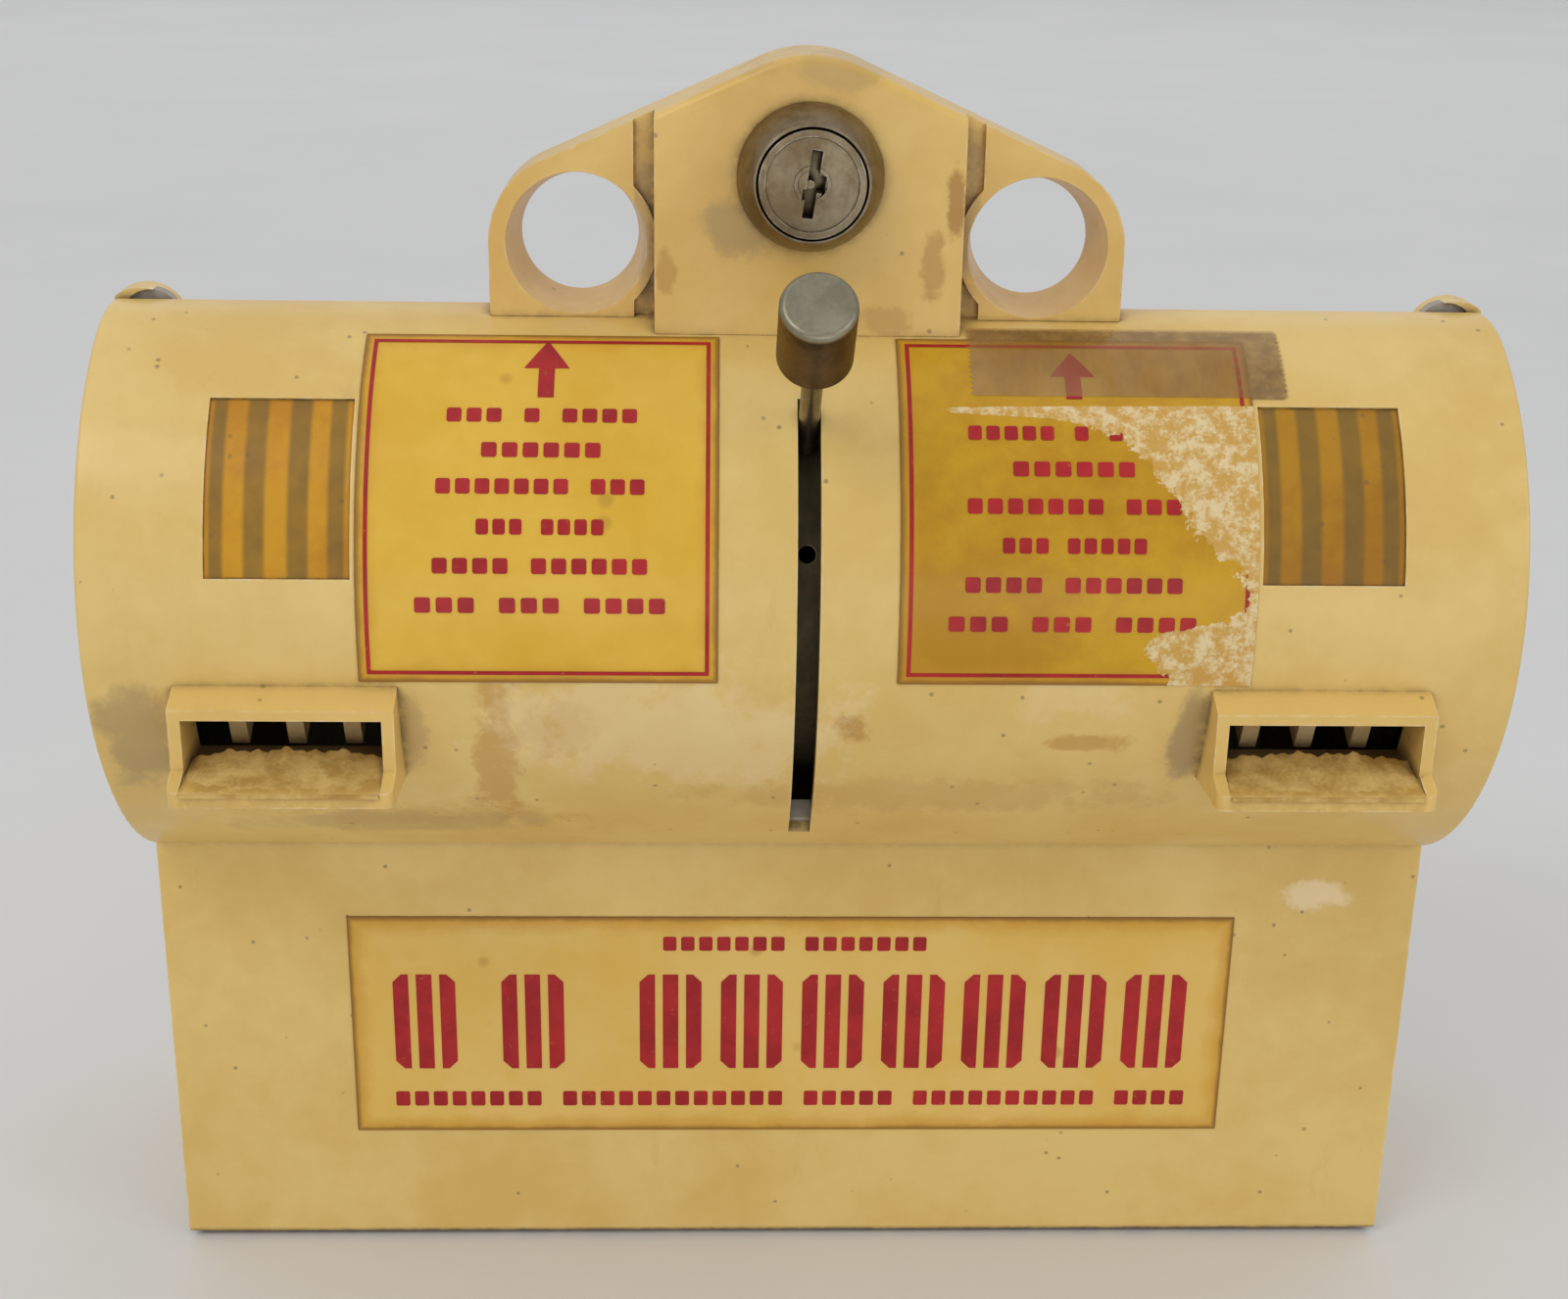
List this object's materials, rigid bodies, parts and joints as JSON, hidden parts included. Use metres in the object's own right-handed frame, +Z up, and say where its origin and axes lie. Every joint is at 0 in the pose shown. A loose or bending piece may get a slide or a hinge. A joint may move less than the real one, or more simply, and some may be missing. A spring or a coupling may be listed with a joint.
{
  "type": "stamp vending machine",
  "caption": "Small lever-operated coin stamp vending machine with a drum-shaped cream cover, locking crest with coin rings, amber windows and exit chutes on a wall case.",
  "frame": {"origin": "middle of the rear case's flat bottom face", "axes": "+X to the machine's right as seen from the front, +Y to the back, +Z up"},
  "size_m": [0.216, 0.11, 0.2101],
  "materials": {
    "cover_plastic": "aged cream gloss moulding, yellowed and grimy in the corners",
    "amber_window": "translucent amber pane",
    "label_paper": "varnished pale yellow transfer with red print and ochre edges",
    "lock_nickel": "worn brownish nickel",
    "turned_steel": "turned steel, darkened on the sides",
    "dark_steel": "blued spring steel",
    "zinc_plate": "zinc-plated sheet",
    "brass_bush": "plain brass",
    "black_rubber": "matte black rubber",
    "grey_rubber": "chalky grey rubber",
    "guide_plastic": "cream moulding, slightly matte",
    "stamp_paper": "plain gummed paper",
    "coin_tin": "grey painted sheet"
  },
  "bodies": {
    "case": {"rear_case": "cover_plastic", "strike_plate": "zinc_plate", "door_buffers": "grey_rubber", "hinge_pins": "turned_steel", "coin_box": "coin_tin"},
    "door": {"front_cover": "cover_plastic", "lock_crest": "cover_plastic", "name_label": "label_paper", "slot_bumper": "grey_rubber", "lock_bezel": "lock_nickel", "lock_barrel": "lock_nickel", "lock_nut": "lock_nickel", "tie_rod": "turned_steel", "shaft_bushes": "brass_bush", "plate_screws": "turned_steel", "return_spring": "dark_steel", "window_pane_left": "amber_window", "window_pane_right": "amber_window", "instruction_label_left": "label_paper", "instruction_label_right": "label_paper", "exit_chute_left": "cover_plastic", "exit_chute_right": "cover_plastic", "stamp_guide_left": "guide_plastic", "stamp_guide_right": "guide_plastic", "hold_down_left": "dark_steel", "hold_down_right": "dark_steel", "stamp_strip_left": "stamp_paper", "stamp_strip_right": "stamp_paper", "coin_funnel_left": "coin_tin", "coin_funnel_right": "coin_tin", "inner_plate_left": "zinc_plate", "inner_plate_right": "zinc_plate", "outer_plate_left": "zinc_plate", "outer_plate_right": "zinc_plate", "roll_bracket_left": "zinc_plate", "roll_bracket_right": "zinc_plate", "roll_spindle_left": "turned_steel", "roll_spindle_right": "turned_steel"},
    "lever": {"main_shaft": "turned_steel", "lever_hub": "dark_steel", "lever_stem": "turned_steel", "lever_knob": "turned_steel", "slot_shield": "dark_steel", "drive_arm_left": "dark_steel", "drive_arm_right": "dark_steel"},
    "lock": {"lock_plug": "lock_nickel", "lock_cam": "lock_nickel"},
    "pawl_left": {"drive_pawl_left": "dark_steel"},
    "feed_left": {"feed_drum_left": "guide_plastic", "feed_tyres_left": "black_rubber", "ratchet_wheel_left": "dark_steel"},
    "roller_left": {"press_roller_left": "black_rubber"},
    "roll_left": {"stamp_roll_left": "stamp_paper"},
    "pawl_right": {"drive_pawl_right": "dark_steel"},
    "feed_right": {"feed_drum_right": "guide_plastic", "feed_tyres_right": "black_rubber", "ratchet_wheel_right": "dark_steel"},
    "roller_right": {"press_roller_right": "black_rubber"},
    "roll_right": {"stamp_roll_right": "stamp_paper"}
  },
  "joints": [
    {"name": "door_tilt", "type": "hinge", "parent": "case", "child": "door", "pos_m": [0, -0.0302, 0.0021], "axis": [1, 0, 0], "range_deg": [0, 55]},
    {"name": "lever_pull", "type": "hinge", "parent": "door", "child": "lever", "pos_m": [0, -0.0192, 0.127], "axis": [1, 0, 0], "range_deg": [0, 92], "stiffness_Nm_per_rad": 0.06, "springref_deg": -34.38},
    {"name": "lock_turn", "type": "hinge", "parent": "door", "child": "lock", "pos_m": [0, -0.032, 0.1924], "axis": [0, 1, 0], "range_deg": [0, 90]},
    {"name": "pawl_left_lift", "type": "hinge", "parent": "lever", "child": "pawl_left", "pos_m": [-0.062, 0.00241, 0.11913], "axis": [-1, 0, 0], "range_deg": [0, 12], "stiffness_Nm_per_rad": 0.004, "springref_deg": -17.19},
    {"name": "feed_left_turn", "type": "hinge", "parent": "door", "child": "feed_left", "pos_m": [-0.078, -0.0192, 0.127], "axis": [1, 0, 0], "range_deg": [0, 92]},
    {"name": "roller_left_turn", "type": "hinge", "parent": "door", "child": "roller_left", "pos_m": [-0.078, 0.00707, 0.14905], "axis": [1, 0, 0], "range_deg": [-530, 0]},
    {"name": "roll_left_turn", "type": "hinge", "parent": "door", "child": "roll_left", "pos_m": [-0.078, -0.005, 0.036], "axis": [1, 0, 0], "range_deg": [0, 133]},
    {"name": "pawl_right_lift", "type": "hinge", "parent": "lever", "child": "pawl_right", "pos_m": [0.062, 0.00241, 0.11913], "axis": [-1, 0, 0], "range_deg": [0, 12], "stiffness_Nm_per_rad": 0.004, "springref_deg": -17.19},
    {"name": "feed_right_turn", "type": "hinge", "parent": "door", "child": "feed_right", "pos_m": [0.078, -0.0192, 0.127], "axis": [1, 0, 0], "range_deg": [0, 92]},
    {"name": "roller_right_turn", "type": "hinge", "parent": "door", "child": "roller_right", "pos_m": [0.078, 0.00707, 0.14905], "axis": [1, 0, 0], "range_deg": [-530, 0]},
    {"name": "roll_right_turn", "type": "hinge", "parent": "door", "child": "roll_right", "pos_m": [0.078, -0.005, 0.036], "axis": [1, 0, 0], "range_deg": [0, 133]}
  ],
  "couplings": [
    {"joint": "feed_left_turn", "follows": "lever_pull", "ratio": 1},
    {"joint": "roller_left_turn", "follows": "lever_pull", "ratio": -5.76},
    {"joint": "roll_left_turn", "follows": "lever_pull", "ratio": 1.44},
    {"joint": "feed_right_turn", "follows": "lever_pull", "ratio": 1},
    {"joint": "roller_right_turn", "follows": "lever_pull", "ratio": -5.76},
    {"joint": "roll_right_turn", "follows": "lever_pull", "ratio": 1.44}
  ]
}
